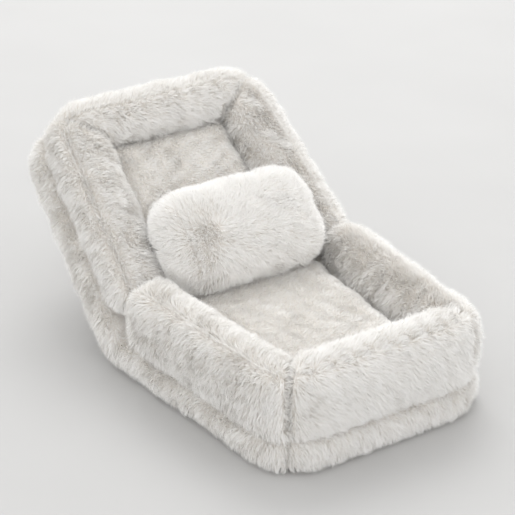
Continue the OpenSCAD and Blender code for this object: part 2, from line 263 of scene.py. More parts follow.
def cushion(name, quad, heights, radii, place, seams, pile, hold=None, cap=0.012, cell=0.009, shape=None,
            groove=1.0):
    """A stuffed block over a plan quad, between two heights. seams are pinned lines, pile says where plush
    grows, hold pins areas, cap is the furthest that a point may swell and groove how deep its seams are."""
    q = [np.array(c) for c in quad]
    width = (np.linalg.norm(q[1] - q[0]) + np.linalg.norm(q[2] - q[3])) / 2
    depth = (np.linalg.norm(q[3] - q[0]) + np.linalg.norm(q[2] - q[1])) / 2
    size = (width, depth, heights[1] - heights[0])
    lattice, faces = box_lattice(size, cell)
    seam = seam_on(lattice, size, seams(size))
    flat = lattice * np.array(size)
    points = across_quad(rounded(lattice, size, radii), size, quad)
    points[:, 2] += heights[0]
    if shape:
        points = shape(points)
    obj = mesh_object(name, points, faces)
    held = np.maximum(seam, hold(flat, size) if hold else lattice[:, 2] < ON_FACE)
    add_weight(obj, "seam", seam * groove)
    add_weight(obj, "held", held)
    add_weight(obj, "pile", pile(flat, size))
    CUSHIONS.append({"obj": obj, "place": place, "cap": cap})
    return obj


CLOTH_FRAMES = 20
CLOTH = {
    "quality": 4,
    "mass": 0.25,
    "tension_stiffness": 8,
    "compression_stiffness": 8,
    "shear_stiffness": 4,
    "bending_stiffness": 0.4,
    "tension_damping": 8,
    "compression_damping": 8,
    "shear_damping": 8,
    "use_pressure": True,
    "uniform_pressure_force": 4.0,
    "vertex_group_mass": "held",
}


def inflate_all():
    """Swells every cushion as cloth under pressure, where it is not held."""
    scene = bpy.context.scene
    scene.frame_start, scene.frame_end = 1, CLOTH_FRAMES
    for c in CUSHIONS:
        obj = c["obj"]
        c["start"] = read_points(obj.data)
        held = read_weight(obj.data, "held")
        group = obj.vertex_groups.new(name="held")
        group.add([int(i) for i in np.nonzero(held > 0.9)[0]], 1.0, "REPLACE")
        cloth = obj.modifiers.new("Cloth", "CLOTH")
        for setting, value in CLOTH.items():
            setattr(cloth.settings, setting, value)
        cloth.settings.effector_weights.gravity = 0
        cloth.collision_settings.use_collision = False
        cloth.point_cache.frame_start, cloth.point_cache.frame_end = 1, CLOTH_FRAMES
    for f in range(1, CLOTH_FRAMES + 1):
        scene.frame_set(f)
    depsgraph = bpy.context.evaluated_depsgraph_get()
    for c in CUSHIONS:
        obj = c["obj"]
        swollen = read_points(obj.evaluated_get(depsgraph).data)
        move = swollen - c["start"]
        length = np.linalg.norm(move, axis=1, keepdims=True)
        c["end"] = c["start"] + move * np.minimum(1, c["cap"] / np.maximum(length, 1e-9))
    scene.frame_set(1)
    for c in CUSHIONS:
        obj = c["obj"]
        obj.modifiers.clear()
        obj.vertex_groups.clear()
        obj.data.vertices.foreach_set("co", c["end"].ravel())
        obj.data.update()


SEAM_DEPTH = 0.0055
LUMP_SPACING = 0.055
LUMP_DEPTH = 0.0006


def finish_cushion(c):
    """One subdivision, then seam grooves and slight lumps, and the mesh put in its place."""
    obj = c["obj"]
    smooth = obj.modifiers.new("Subdivision", "SUBSURF")
    smooth.levels = smooth.render_levels = 1
    depsgraph = bpy.context.evaluated_depsgraph_get()
    mesh = bpy.data.meshes.new_from_object(obj.evaluated_get(depsgraph), depsgraph=depsgraph)
    obj.modifiers.clear()
    obj.data = mesh
    mesh.name = obj.name
    points = read_points(mesh)
    normals = np.empty(len(points) * 3)
    mesh.vertices.foreach_get("normal", normals)
    seam = read_weight(mesh, "seam")[:, None]
    loose = 1 - np.clip(read_weight(mesh, "held"), 0, 1)[:, None]
    lumps = Waves(np.random.default_rng(len(points)), LUMP_SPACING)(points)[:, None] * LUMP_DEPTH * loose
    points = points + normals.reshape(-1, 3) * (lumps - SEAM_DEPTH * np.clip(seam, 0, 1))
    mesh.vertices.foreach_set("co", points.ravel())
    mesh.transform(c["place"])
    mesh.update()
    mesh.shade_smooth()


# ---------------------------------------------------------------- pile


def sample_surface(obj, density, rng):
    """Random points over a mesh and their normals: density to the square metre, fewer where pile is thin."""
    mesh = obj.data
    mesh.calc_loop_triangles()
    tris = np.empty(len(mesh.loop_triangles) * 3, np.int32)
    mesh.loop_triangles.foreach_get("vertices", tris)
    tris = tris.reshape(-1, 3)
    points = read_points(mesh)
    normals = np.empty(len(points) * 3)
    mesh.vertices.foreach_get("normal", normals)
    normals = normals.reshape(-1, 3)
    pile = read_weight(mesh, "pile")
    a, b, c = points[tris[:, 0]], points[tris[:, 1]], points[tris[:, 2]]
    area = np.linalg.norm(np.cross(b - a, c - a), axis=1) / 2 * pile[tris].mean(1) ** 2
    count = int(area.sum() * density)
    pick = np.searchsorted(np.cumsum(area) / area.sum(), rng.random(count))
    r1, r2 = np.sqrt(rng.random(count)), rng.random(count)
    weights = np.column_stack([1 - r1, r1 * (1 - r2), r1 * r2])
    t = tris[pick]
    where = (points[t] * weights[:, :, None]).sum(1)
    normal = unit((normals[t] * weights[:, :, None]).sum(1))
    return where, normal


# About how many points stand for a cushion's seams, and how many roots are compared with them at a time
SEAM_SAMPLES = 260
BLOCK = 20000


def from_seams(obj, where):
    """Vector from the nearest seam point, and its length."""
    mesh = obj.data
    seam = read_points(mesh)[read_weight(mesh, "seam") > 0.9]
    if not len(seam):
        return np.zeros_like(where), np.full(len(where), 1.0)
    seam = seam[:: max(1, len(seam) // SEAM_SAMPLES)]
    away = np.empty_like(where)
    for i in range(0, len(where), BLOCK):
        block = where[i : i + BLOCK]
        gap = ((block[:, None, :] - seam[None]) ** 2).sum(2)
        away[i : i + BLOCK] = block - seam[gap.argmin(1)]
    return away, np.linalg.norm(away, axis=1)


# Large odd numbers that mix a cell's three indices into one
MIXERS = (73856093, 19349663, 83492791)


def clump_centres(where, size, rng):
    """For each point, the nearest jittered cell centre, which is the heart of its clump, and a tone."""
    cell = np.floor(where / size).astype(np.int64)
    best = np.full(len(where), np.inf)
    centre = np.zeros_like(where)
    tone = np.zeros(len(where))
    salt = int(rng.integers(1, 1 << 30))
    for dx in (-1, 0, 1):
        for dy in (-1, 0, 1):
            for dz in (-1, 0, 1):
                c = cell + np.array([dx, dy, dz])
                h = (c[:, 0] * MIXERS[0]) ^ (c[:, 1] * MIXERS[1]) ^ (c[:, 2] * MIXERS[2]) ^ salt
                jitter = np.column_stack([(h >> s & 1023) / 1023 for s in (2, 12, 22)])
                spot = (c + jitter) * size
                gap = ((spot - where) ** 2).sum(1)
                nearer = gap < best
                best[nearer] = gap[nearer]
                centre[nearer] = spot[nearer]
                tone[nearer] = ((h[nearer] >> 5) & 255) / 255
    return centre, tone


def lifted(chains, place):
    """Keeps strands above the floor as it lies in a place's own frame."""
    there, back = np.array(place.inverted()), np.array(place)
    p = chains @ there[:3, :3].T + there[:3, 3]
    p[:, :, 2] = np.maximum(p[:, :, 2], FLOOR_CLEAR)
    return p @ back[:3, :3].T + back[:3, 3]


# Half width of a strand, as a share of its width, at its root and at its middle
ROOT_HALF, MIDDLE_HALF = 0.5, 0.42


def pile_mesh(name, chains, widths, normals, tone):
    """Ribbons that taper to a point: chains is [strand, 3 points, xyz]. U holds the tone, V the way along."""
    count = len(chains)
    along = unit(chains[:, 2] - chains[:, 0])
    side = unit(np.cross(along, normals))
    verts = np.empty((count, 5, 3))
    verts[:, 0] = chains[:, 0] - side * widths[:, None] * ROOT_HALF
    verts[:, 1] = chains[:, 0] + side * widths[:, None] * ROOT_HALF
    verts[:, 2] = chains[:, 1] - side * widths[:, None] * MIDDLE_HALF
    verts[:, 3] = chains[:, 1] + side * widths[:, None] * MIDDLE_HALF
    verts[:, 4] = chains[:, 2]
    base = (np.arange(count) * 5)[:, None]
    loops = (base + np.array([0, 1, 3, 2, 2, 3, 4])).ravel().astype(np.int32)
    starts = (np.arange(count) * 7)[:, None] + np.array([0, 4])
    mesh = bpy.data.meshes.new(name)
    mesh.vertices.add(count * 5)
    mesh.vertices.foreach_set("co", verts.ravel())
    mesh.loops.add(count * 7)
    mesh.loops.foreach_set("vertex_index", loops)
    mesh.polygons.add(count * 2)
    mesh.polygons.foreach_set("loop_start", starts.ravel().astype(np.int32))
    uv = mesh.uv_layers.new(name="OFBake")
    # V runs from the root, which takes the painted shade of the pile material, to the pale tip
    heights = np.array([0.02, 0.02, 0.5, 0.5, 0.5, 0.5, 0.98])
    sides = np.array([-1, 1, 1, -1, -1, 1, 0]) * 0.004
    coords = np.empty((count, 7, 2))
    coords[:, :, 0] = np.clip(tone, 0.02, 0.98)[:, None] + sides
    coords[:, :, 1] = heights
    uv.data.foreach_set("uv", coords.ravel())
    mesh.update()
    mesh.validate()
    face = unit(np.cross(side, along))
    facing = np.sign((face * normals).sum(1, keepdims=True))
    shade = unit(0.3 * normals + 0.7 * face * facing)
    mesh.shade_smooth()
    mesh.normals_split_custom_set_from_vertices(np.repeat(shade, 5, axis=0))
    obj = bpy.data.objects.new(name, mesh)
    bpy.context.collection.objects.link(obj)
    return obj


# Most strands in one piece
MOST_STRANDS = 60000
# How deep a strand stands in the cushion
ROOT_DEPTH = 0.0012
# Wavelengths over which the comb wanders, and how far it turns over each, in radians
BROAD, BROAD_TURN = 0.075, 0.22
FINE, FINE_TURN = 0.026, 0.3
# How far single strands stray from the comb, in radians
STRAY = 0.3
# The pile turns away from a seam: how much, and how near
PARTING, PARTING_REACH = 0.75, 0.015
# The pile is shorter at a seam: by how much, and how near
CROPPED, CROPPED_REACH = 0.18, 0.007
# Shares of the length between which strands differ, and how much it sways over what distance
LENGTHS = (0.72, 1.12)
SWAY, SWAY_OVER = 0.08, 0.03
# How upright strands stand: the mean, its spread and its limits
UPRIGHT, UPRIGHT_SPREAD, UPRIGHT_LIMITS = 0.85, 0.16, (0.4, 1.3)
# Shares of the gather that single strands follow, and the share that their middles do
GATHERS, MIDDLE_GATHER = (0.5, 1.1), 0.35
# How far tips stray, as a share of the length
FRAY = 0.035
# Shares of the width between which strands differ, and how far they twist
WIDTHS = (0.7, 1.25)
TWIST = 0.35


def grow_pile(obj, seed, density, length, width, comb, clump=0.0055, gather=0.32, rests=(SEATED,),
              whorl=None):
    """Covers a cushion with strands, combed, parted at the seams and gathered in clumps, in pieces."""
    rng = np.random.default_rng(seed)
    where, normal = sample_surface(obj, density, rng)
    count = len(where)
    away, gap = from_seams(obj, where)
    broad, fine = Waves(rng, BROAD), Waves(rng, FINE)
    parted = PARTING * np.exp(-gap / PARTING_REACH)[:, None]
    combed = where - np.array(whorl) if whorl is not None else np.array(comb, float)[None]
    flow = unit(unit(combed) * (1 - parted) + unit(away) * parted * 1.6)
    flow = unit(flow - normal * (flow * normal).sum(1, keepdims=True))
    angle = (BROAD_TURN * broad(where) + FINE_TURN * fine(where)) * (1 - 0.7 * parted[:, 0])
    angle = angle + rng.normal(0, STRAY, count)
    cross = np.cross(normal, flow)
    flow = flow * np.cos(angle)[:, None] + cross * np.sin(angle)[:, None]
    reach = length * rng.uniform(*LENGTHS, count) * (1 + SWAY * Waves(rng, SWAY_OVER)(where))
    reach = reach * (1 - CROPPED * np.exp(-((gap / CROPPED_REACH) ** 2)))
    reach = reach[:, None]
    root = where - normal * ROOT_DEPTH
    rise = np.clip(rng.normal(UPRIGHT, UPRIGHT_SPREAD, count), *UPRIGHT_LIMITS)[:, None]
    middle = root + reach * 0.5 * unit(normal * rise * 1.6 + flow * 0.5)
    tip = middle + reach * 0.5 * unit(normal * rise + flow * 0.8)
    centre, tone = clump_centres(where, clump, rng)
    heart = centre - normal * ((centre - where) * normal).sum(1, keepdims=True)
    pull = (heart - where) * gather * rng.uniform(*GATHERS, (count, 1))
    tip = tip + pull
    middle = middle + pull * MIDDLE_GATHER
    spread = rng.normal(0, 1, (count, 3)) * length * FRAY
    chains = np.stack([root, middle + spread * 0.5, tip + spread], axis=1)
    for place in rests:
        chains = lifted(chains, place)
    widths = width * rng.uniform(*WIDTHS, count)
    twist = unit(normal + rng.normal(0, TWIST, (count, 3)))
    tone = 0.5 * tone + 0.5 * rng.random(count)
    order = np.argsort(where[:, 1])
    parts = np.array_split(order, math.ceil(count / MOST_STRANDS))
    endings = [""] if len(parts) == 1 else [f"_{i + 1}" for i in range(len(parts))]
    return [
        pile_mesh(obj.name + "_pile" + ending, chains[part], widths[part], twist[part], tone[part])
        for ending, part in zip(endings, parts)
    ]


# ---------------------------------------------------------------- the layout, from the CAD boxes

# Room that a cushion leaves inside its CAD solid, to swell into
SWELL = 0.004
# How far the arms, the front bolster and the casing stand out past the CAD solids' sides
PROUD = 0.006
# How far a bolster runs on past its mitre
OVERLAP = 0.003
# Gap between the back pad and the side bolsters
PAD_GAP = 0.003
# Plan radius of the corners at the front of the seat and at the top of the back
SEAT_CORNER = 0.058
BACK_CORNER = 0.066

SEAT_LOW, SEAT_HIGH = local_box("base_cover", SEATED)
FRONT_LOW, FRONT_HIGH = local_box("front_bolster_cover", SEATED)
ARM_LOW, ARM_HIGH = local_box("left_arm_cover", SEATED)
BACK_LOW, BACK_HIGH = local_box("back_cover", RECLINED)
SIDE_LOW, SIDE_HIGH = local_box("left_bolster_cover", RECLINED)
TOP_LOW, TOP_HIGH = local_box("top_bolster_cover", RECLINED)
RIM = FRONT_HIGH[1] - FRONT_LOW[1]
SEAT_LINE = side_line("base_cover", SEATED)
BACK_LINE = side_line("back_cover", RECLINED)


def seat_half(y):
    """Half width of the seat at a place along its length."""
    return SEAT_LINE[1] + SEAT_LINE[2] * (y - SEAT_LINE[0])


def back_half(y):
    """Half width of the back at a place along its length, as it lies flat."""
    return BACK_LINE[1] + BACK_LINE[2] * (y - BACK_LINE[0])


def seat_rounded(points):
    """Rounds the corners at the front of the seat."""
    return round_corner(points, seat_half, FRONT_LOW[1], SEAT_CORNER)


def back_rounded(points):
    """Rounds the corners at the top of the back."""
    return round_corner(points, back_half, BACK_HIGH[1], -BACK_CORNER)


# Width of a side bolster, measured at the top of the back pad
PAD_TOP = local_box("back_pad_cover", RECLINED)[1][1]
SIDE_W = back_half(PAD_TOP) - half_width("back_pad_cover", RECLINED, PAD_TOP) - PAD_GAP


def inset_quad(half, y0, y1, sign, outer, inner, mitre):
    """Corners of a bolster that runs along one side, outer and inner in from the edge. mitre says how far
    its low and its high end slant."""
    low_extra = OVERLAP if mitre[0] else 0
    high_extra = OVERLAP if mitre[1] else 0
    low_in, low_out = y0 + mitre[0] - low_extra, y0 - low_extra
    high_in, high_out = y1 - mitre[1] + high_extra, y1 + high_extra
    corners = [
        (half(low_in) - inner, low_in),
        (half(low_out) - outer, low_out),
        (half(high_out) - outer, high_out),
        (half(high_in) - inner, high_in),
    ]
    if sign < 0:
        corners = [(-corners[i][0], corners[i][1]) for i in (1, 0, 3, 2)]
    return corners


def on_sides(p, size):
    """The upright faces of a block, with their top and bottom edges."""
    edge = ON_FACE / 2
    return (p[:, 0] < edge) | (p[:, 0] > size[0] - edge) | (p[:, 1] < edge) | (p[:, 1] > size[1] - edge)


def but_bottom(p, size):
    """Every face that shows, down to the bottom edge."""
    return on_sides(p, size) | (p[:, 2] > ON_FACE)


# ---------------------------------------------------------------- cushions

# Distance of the crest seams from the outer edge, and how high on a bolster its seams begin
SEAT_CREST = 0.014
BACK_CREST = 1.6 * SEAT_CREST
CREST_FROM = 0.6
END_FROM = 0.1
# Edge radii: TIGHT where two bolsters meet, UNDER and OVER at the bottom and top of a bolster
TIGHT = 0.010
SEAT_UNDER, SEAT_OVER = 0.006, 0.036
BACK_UNDER, BACK_OVER = 0.010, 0.030
ARM_INNER, ARM_OUTER, ARM_END = 0.026, 0.022, 0.030
FRONT_OUTER, FRONT_INNER = 0.026, 0.022
SIDE_EDGE, SIDE_END = 0.024, 0.028
TOP_INNER, TOP_OUTER = 0.024, 0.028


def bolster_seams(size, crest, ends):
    """The crest seam of a bolster and the seams at its joined ends, each as axis and place."""
    top = above(CREST_FROM * size[2])
    end = above(END_FROM * size[2])
    return [(*crest, top)] + [(*place, end) for place in ends]


def arm(name, sign):
    across = (ARM_INNER, ARM_OUTER) if sign > 0 else (ARM_OUTER, ARM_INNER)
    radii = (across, (TIGHT, ARM_END), (SEAT_UNDER, SEAT_OVER))

    def seams(size):
        crest = size[0] - SEAT_CREST if sign > 0 else SEAT_CREST
        return bolster_seams(size, (0, crest), [(1, 0)])

    quad = inset_quad(seat_half, FRONT_LOW[1], ARM_HIGH[1], sign, -PROUD, RIM - SWELL, (RIM, 0))
    heights = (ARM_LOW[2], ARM_HIGH[2] - SWELL)
    return cushion(name, quad, heights, radii, SEATED, seams, but_bottom, shape=seat_rounded)


def front_bolster():
    w = seat_half(FRONT_LOW[1]) + PROUD
    y0, y1 = FRONT_LOW[1], FRONT_HIGH[1] - SWELL
    inner = seat_half(y1) - RIM
    quad = [(-w, y0), (w, y0), (inner, y1), (-inner, y1)]
    radii = ((TIGHT, TIGHT), (FRONT_OUTER, FRONT_INNER), (SEAT_UNDER, SEAT_OVER))

    def seams(size):
        return bolster_seams(size, (1, SEAT_CREST), [(0, 0), (0, size[0])])

    heights = (FRONT_LOW[2], FRONT_HIGH[2] - SWELL)
    return cushion("front_bolster", quad, heights, radii, SEATED, seams, but_bottom, shape=seat_rounded)


def side_bolster(name, sign):
    radii = ((SIDE_EDGE, SIDE_EDGE), (SIDE_END, TIGHT), (BACK_UNDER, BACK_OVER))

    def seams(size):
        crest = size[0] - BACK_CREST if sign > 0 else BACK_CREST
        return bolster_seams(size, (0, crest), [(1, size[1])])

    run_in = TOP_HIGH[1] - TOP_LOW[1]
    quad = inset_quad(back_half, SIDE_LOW[1], BACK_HIGH[1], sign, SWELL, SIDE_W - SWELL, (0, run_in))
    heights = (SIDE_LOW[2], SIDE_HIGH[2] - SWELL)
    return cushion(name, quad, heights, radii, RECLINED, seams, but_bottom, shape=back_rounded)


def top_bolster():
    y0, y1 = TOP_LOW[1] + SWELL, TOP_HIGH[1] - SWELL
    inner = back_half(y0) - SIDE_W
    outer = back_half(y1)
    quad = [(-inner, y0), (inner, y0), (outer, y1), (-outer, y1)]
    radii = ((TIGHT, TIGHT), (TOP_INNER, TOP_OUTER), (BACK_UNDER, BACK_OVER))

    def seams(size):
        return bolster_seams(size, (1, size[1] - BACK_CREST), [(0, 0), (0, size[0])])

    heights = (TOP_LOW[2], TOP_HIGH[2] - SWELL)
    return cushion("top_bolster", quad, heights, radii, RECLINED, seams, but_bottom, shape=back_rounded)


# Room that the flat pads leave inside their CAD solids, and their bottom edge radius
PAD_ROOM = 0.002
PAD_UNDER = 0.006


def flat_pad(name, node, place, radius, cap):
    """The seat cushion or the back pad: a flat block with a crowned top."""
    low, high = local_box(node, place)
    quad = []
    for y, side in ((low[1], -1), (low[1], 1), (high[1], 1), (high[1], -1)):
        quad.append((side * (half_width(node, place, y) - PAD_ROOM), y))
    radii = ((radius, radius), (radius, radius), (PAD_UNDER, radius * 0.8))
    heights = (low[2], high[2] - PAD_ROOM)
    plush = above(0.3 * (high[2] - low[2]))
    return cushion(name, quad, heights, radii, place, lambda size: [], plush, cap=cap)


PILLOW_RADII = ((0.040, 0.040), (0.050, 0.050), (0.038, 0.038))
PILLOW_SEAM = 0.026
PILLOW_ROOM = 0.003


def pillow():
    low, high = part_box("pillow_cover")
    place = turned(PILLOW_LEAN, (Vector(low) + Vector(high)) / 2)
    low, high = local_box("pillow_cover", place)
    quad = [(low[0], low[1]), (high[0], low[1]), (high[0], high[1]), (low[0], high[1])]
    heights = (low[2] + PILLOW_ROOM, high[2] - PILLOW_ROOM)
    seams = lambda size: [(0, PILLOW_SEAM, everywhere), (0, size[0] - PILLOW_SEAM, everywhere)]
    return cushion("pillow", quad, heights, PILLOW_RADII, place, seams, everywhere,
                   hold=lambda p, size: np.zeros(len(p)), cap=0.011, groove=0.35)


ZIP_LOW, ZIP_HIGH = local_box("zip_coil", RECLINED)
ZIP_Y = (ZIP_LOW[1] + ZIP_HIGH[1]) / 2
ZIP_HALF = (ZIP_HIGH[0] - ZIP_LOW[0]) / 2
# Bare strip around the zip: half its width, and how far it runs past the coil
ZIP_BARE, ZIP_PAST = 0.009, 0.006
# The stretch of casing that bends, and the crease in its top that makes room for the bolsters
FOLD_START = HINGE.y - 0.027
FOLD_END = HINGE.y + 0.028
CREASE_DEPTH = 0.009
CREASE_AT = 0.036
CREASE_REACH = 0.026


def casing_half(y):
    """Half width of the casing along its flat length, from the seat's line to the back's line."""
    t = smoothstep((y - FOLD_START) / (FOLD_END - FOLD_START))
    return seat_half(y) * (1 - t) + back_half(y) * t


def bent(points):
    """Gives the flat casing its widths and thicknesses, then turns its back part up about the hinge."""
    points = points.copy()
    widest = seat_half(FRONT_LOW[1])
    points[:, 0] *= (casing_half(points[:, 1]) + PROUD) / widest
    front = seat_rounded(points)
    points = np.where(points[:, 1:2] < HINGE.y, front, back_rounded(points))
    y = points[:, 1]
    t = smoothstep((y - FOLD_START) / (FOLD_END - FOLD_START))
    lift = (points[:, 2] - SEAT_LOW[2]) / (SEAT_HIGH[2] - SEAT_LOW[2])
    bottom = SEAT_LOW[2] * (1 - t) + BACK_LOW[2] * t
    top = SEAT_HIGH[2] * (1 - t) + BACK_HIGH[2] * t
    top = top - CREASE_DEPTH * np.exp(-(((y - HINGE.y - CREASE_AT) / CREASE_REACH) ** 2))
    z = bottom + lift * (top - bottom)
    angle = RECLINE * t
    dy, dz = y - HINGE.y, z - HINGE.z
    return np.column_stack([
        points[:, 0],
        HINGE.y + dy * np.cos(angle) - dz * np.sin(angle),
        HINGE.z + dy * np.sin(angle) + dz * np.cos(angle),
    ])


CASING_RADII = ((0.018, 0.018), (0.018, 0.026), (0.014, 0.008))
# How far the casing runs on in front of its CAD solid
CASING_AHEAD = 0.001


def casing():
    """The one cover over the seat and the back, made flat and then bent up at the hinge."""
    w = seat_half(FRONT_LOW[1])
    y0, y1 = FRONT_LOW[1] - CASING_AHEAD, BACK_HIGH[1] - SWELL
    quad = [(-w, y0), (w, y0), (w, y1), (-w, y1)]

    def seams(size):
        front = lambda p: p[:, 1] < ON_FACE
        return [(0, 0, front), (0, size[0], front)]

    def hold(p, size):
        return (p[:, 2] > size[2] - ON_FACE) | (p[:, 2] < ON_FACE)

    def pile(p, size):
        y = p[:, 1] + y0
        from_middle = np.abs(p[:, 0] - size[0] / 2)
        zip_strip = (np.abs(y - ZIP_Y) < ZIP_BARE) & (from_middle < ZIP_HALF + ZIP_PAST)
        rear = (p[:, 2] < ON_FACE) & (y > FOLD_START) & ~on_sides(p, size) & ~zip_strip
        return on_sides(p, size) * 1.0 + rear * 0.9

    heights = (SEAT_LOW[2], SEAT_HIGH[2])
    return cushion("outer_casing", quad, heights, CASING_RADII, SEATED, seams, pile,
                   hold=hold, cap=0.011, cell=0.010, shape=bent)


# ---------------------------------------------------------------- materials


class Nodes:
    """A material's node tree, with short calls to add and join nodes."""

    def __init__(self, name):
        self.material = bpy.data.materials.new(name)
        self.material.use_nodes = True
        self.tree = self.material.node_tree
        self.shader = self.tree.nodes["Principled BSDF"]

    def add(self, kind, **values):
        node = self.tree.nodes.new("ShaderNode" + kind)
        for key, value in values.items():
            if key in node.inputs:
                node.inputs[key].default_value = value
            else:
                setattr(node, key, value)
        return node

    def join(self, source, target):
        self.tree.links.new(source, target)

    def ramp(self, fac, stops):
        """A colour ramp. Its first two stops are the ends, and any others lie between them."""
        node = self.add("ValToRGB")
        elements = node.color_ramp.elements
        for at, colour in stops[2:]:
            elements.new(at)
        for element, (at, colour) in zip(elements, sorted(stops)):
            element.position = at
            element.color = (*colour, 1)
        self.join(fac, node.inputs["Fac"])
        return node.outputs["Color"]

    def noise(self, scale, detail=4.0, roughness=0.6):
        """Noise fixed to the object."""
        where = self.add("TexCoord")
        node = self.add("TexNoise", Scale=scale, Detail=detail, Roughness=roughness)
        self.join(where.outputs["Object"], node.inputs["Vector"])
        return node.outputs["Fac"]

    def bump(self, height, strength, distance):
        node = self.add("Bump", Strength=strength, Distance=distance)
        self.join(height, node.inputs["Height"])
        self.join(node.outputs["Normal"], self.shader.inputs["Normal"])

    def set(self, **values):
        for key, value in values.items():
            self.shader.inputs[key.replace("_", " ")].default_value = value
        return self

    def colour(self, source):
        self.join(source, self.shader.inputs["Base Color"])


def plush_pile(name, root, middle, tip):
    """Strand colour: warm and dark at the root, which is painted shade deep in the pile, pale at the tip, a
    little different for each strand.
    """
    m = Nodes(name)
    uv = m.add("UVMap", uv_map="OFBake")
    split = m.add("SeparateXYZ")
    m.join(uv.outputs["UV"], split.inputs["Vector"])
    # The darker, warmer root colour is painted shade: it darkens the lower part of every strand where the
    # pile would be in shade
    along = m.ramp(split.outputs["Y"], [(0.0, root), (1.0, tip), (0.38, middle)])
    tone = m.ramp(split.outputs["X"], [(0.0, (0.965, 0.96, 0.952)), (1.0, (1.0, 1.0, 1.0))])
    mix = m.add("Mix", data_type="RGBA", blend_type="MULTIPLY")
    mix.inputs[0].default_value = 1.0
    m.join(along, mix.inputs[6])
    m.join(tone, mix.inputs[7])
    m.colour(mix.outputs[2])
    m.set(Roughness=0.72, Sheen_Weight=0.35, Sheen_Roughness=0.5, Specular_IOR_Level=0.25)
    return m.material


def plush_backing(name):
    """The knitted ground that the pile stands in, with the down of short fibres. Its colour is darker and
    warmer than the pile's, as painted shade under the strands, and mottled at random.
    """
    m = Nodes(name)
    # Painted shade: the ground is a darker, warmer tone than the pile, so that the gaps between strands read
    # as shaded
    m.colour(m.ramp(m.noise(420, 6), [(0.3, (0.82, 0.78, 0.73)), (0.7, (0.93, 0.91, 0.88))]))
    m.bump(m.noise(900, 6), 0.6, 0.002)
    m.set(Roughness=0.9, Sheen_Weight=0.4)
    return m.material


def brushed_metal(name, base, rough):
    """Plated metal with slight stains and a fine grain."""
    m = Nodes(name)
    dark = tuple(c * 0.82 for c in base)
    m.colour(m.ramp(m.noise(160, 5), [(0.3, dark), (0.7, base)]))
    m.bump(m.noise(1400, 3), 0.12, 0.0004)
    m.set(Metallic=1.0, Roughness=rough)
    return m.material


def woven(name, dark, pale, thread):
    """A plain weave: two crossed sets of threads."""
    m = Nodes(name)
    where = m.add("TexCoord")
    wave = m.add("TexWave", bands_direction="X", Scale=thread, Distortion=0.4, Detail=1.0)
    cross = m.add("TexWave", bands_direction="Y", Scale=thread, Distortion=0.4, Detail=1.0)
    m.join(where.outputs["Object"], wave.inputs["Vector"])
    m.join(where.outputs["Object"], cross.inputs["Vector"])
    both = m.add("Math", operation="MULTIPLY")
    m.join(wave.outputs["Fac"], both.inputs[0])
    m.join(cross.outputs["Fac"], both.inputs[1])
    m.colour(m.ramp(both.outputs["Value"], [(0.0, dark), (0.6, pale)]))
    m.bump(both.outputs["Value"], 0.5, 0.0006)
    m.set(Roughness=0.85)
    return m.material


def moulded(name, base, rough):
    """Moulded plastic or rubber with a faint texture."""
    m = Nodes(name)
    dark = tuple(c * 0.9 for c in base)
    m.colour(m.ramp(m.noise(300, 4), [(0.35, dark), (0.65, base)]))
    m.bump(m.noise(1100, 3), 0.15, 0.0004)
    m.set(Roughness=rough)
    return m.material


# ---------------------------------------------------------------- making the pieces

LEFT_ARM = side_of(ARM_LOW, ARM_HIGH)
LEFT_BOLSTER = side_of(SIDE_LOW, SIDE_HIGH)


def filled(node):
    """A stuffed cushion's cover and its filling."""
    return node + "_cover", node + "_fill"


def foamed(node):
    """A foam cushion's cover and its foam."""
    return node + "_cover", node + "_foam"


# Each piece: its mesh, its body (None where it bends over the fold), the nodes it stands for and its fill
BED = {
    "outer_casing": (casing(), None, foamed("base") + foamed("back"), 0.75),
    "left_arm": (arm("left_arm", LEFT_ARM), "seat", filled("left_arm"), 0.8),
    "right_arm": (arm("right_arm", -LEFT_ARM), "seat", filled("right_arm"), 0.8),
    "front_bolster": (front_bolster(), "seat", filled("front_bolster"), 0.8),
    "left_back_bolster": (
        side_bolster("left_back_bolster", LEFT_BOLSTER), "back", filled("left_bolster"), 0.75),
    "right_back_bolster": (
        side_bolster("right_back_bolster", -LEFT_BOLSTER), "back", filled("right_bolster"), 0.75),
    "top_bolster": (top_bolster(), "back", filled("top_bolster"), 0.75),
    "seat_cushion": (
        flat_pad("seat_cushion", "seat_cushion_cover", SEATED, 0.018, 0.008),
        "seat_cushion", foamed("seat_cushion"), 0.7),
    "back_pad": (
        flat_pad("back_pad", "back_pad_cover", RECLINED, 0.010, 0.005), "back", foamed("back_pad"), 0.6),
    "pillow": (pillow(), "pillow", filled("pillow"), 0.8),
}
inflate_all()
for c in CUSHIONS:
    finish_cushion(c)

backing = plush_backing("plush_backing")
# The root colours are painted shade, darker and warmer than the middle and tip colours, which are the pile's
# own colour
long_pile = plush_pile(
    "long_plush_pile", root=(0.88, 0.845, 0.800), middle=(0.966, 0.958, 0.944), tip=(0.978, 0.976, 0.971))
short_pile = plush_pile(
    "short_plush_pile", root=(0.88, 0.848, 0.808), middle=(0.960, 0.954, 0.943), tip=(0.972, 0.970, 0.964))

# Strands to the square metre, and their widths
DENSITY = 760000
LONG_WIDTH, SHORT_WIDTH = 0.0008, 0.0007
PILLOW_MIDDLE = (Vector(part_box("pillow_cover")[0]) + Vector(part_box("pillow_cover")[1])) / 2
# The point that the pillow's pile fans out from
PILLOW_WHORL = tuple(PILLOW_MIDDLE + Vector((-0.05, -0.03, 0.03)))
FORWARD_AND_DOWN = (0.0, -0.55, -0.45)
